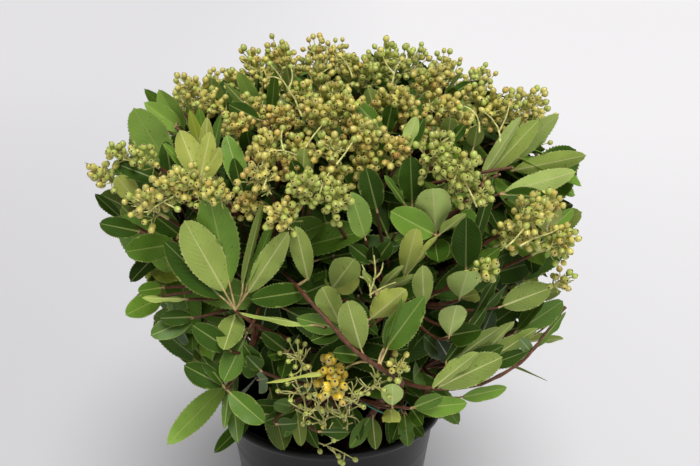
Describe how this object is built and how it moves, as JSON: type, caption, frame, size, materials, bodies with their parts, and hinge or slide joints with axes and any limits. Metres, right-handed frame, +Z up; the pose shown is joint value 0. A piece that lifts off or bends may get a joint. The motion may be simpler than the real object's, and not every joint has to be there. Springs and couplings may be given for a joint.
{
  "type": "bucket of cut toyon branches",
  "caption": "A loose, round-headed bunch of leafy toyon branches with unripe berries, tied and standing in a round tapered black plastic bucket.",
  "frame": {"origin": "middle of the bucket's flat underside", "axes": "+Z up along the bucket's axis, -Y towards the front as pictured, +X to its right"},
  "size_m": [0.4685, 0.4716, 0.584],
  "materials": {
    "bucket": "satin black plastic",
    "water": "still, dark water",
    "tie": "thin green elastic",
    "bark": "smooth red-brown bark",
    "foliage": "leathery leaves and berries"
  },
  "bodies": {
    "root": {"bucket": "bucket", "water": "water", "tie_band": "tie", "stem_1": "bark", "stem_2": "bark", "stem_3": "bark", "stem_4": "bark", "stem_5": "bark", "stem_6": "bark", "stem_7": "bark", "stem_8": "bark", "stem_9": "bark", "stem_10": "bark", "stem_11": "bark", "bough_1": "bark", "bough_2": "bark", "bough_3": "bark", "bough_4": "bark", "bough_5": "bark", "bough_6": "bark", "bough_7": "bark", "bough_8": "bark", "bough_9": "bark", "bough_10": "bark", "foliage_top": "foliage", "foliage_upper_1": "foliage", "foliage_upper_2": "foliage", "foliage_upper_3": "foliage", "foliage_upper_4": "foliage", "foliage_upper_5": "foliage", "foliage_upper_6": "foliage", "foliage_wide_1": "foliage", "foliage_wide_2": "foliage", "foliage_wide_3": "foliage", "foliage_wide_4": "foliage", "foliage_wide_5": "foliage", "foliage_wide_6": "foliage", "foliage_wide_7": "foliage", "foliage_low_1": "foliage", "foliage_low_2": "foliage", "foliage_low_3": "foliage", "foliage_low_4": "foliage", "foliage_low_5": "foliage", "foliage_low_6": "foliage", "foliage_low_7": "foliage"}
  },
  "joints": []
}
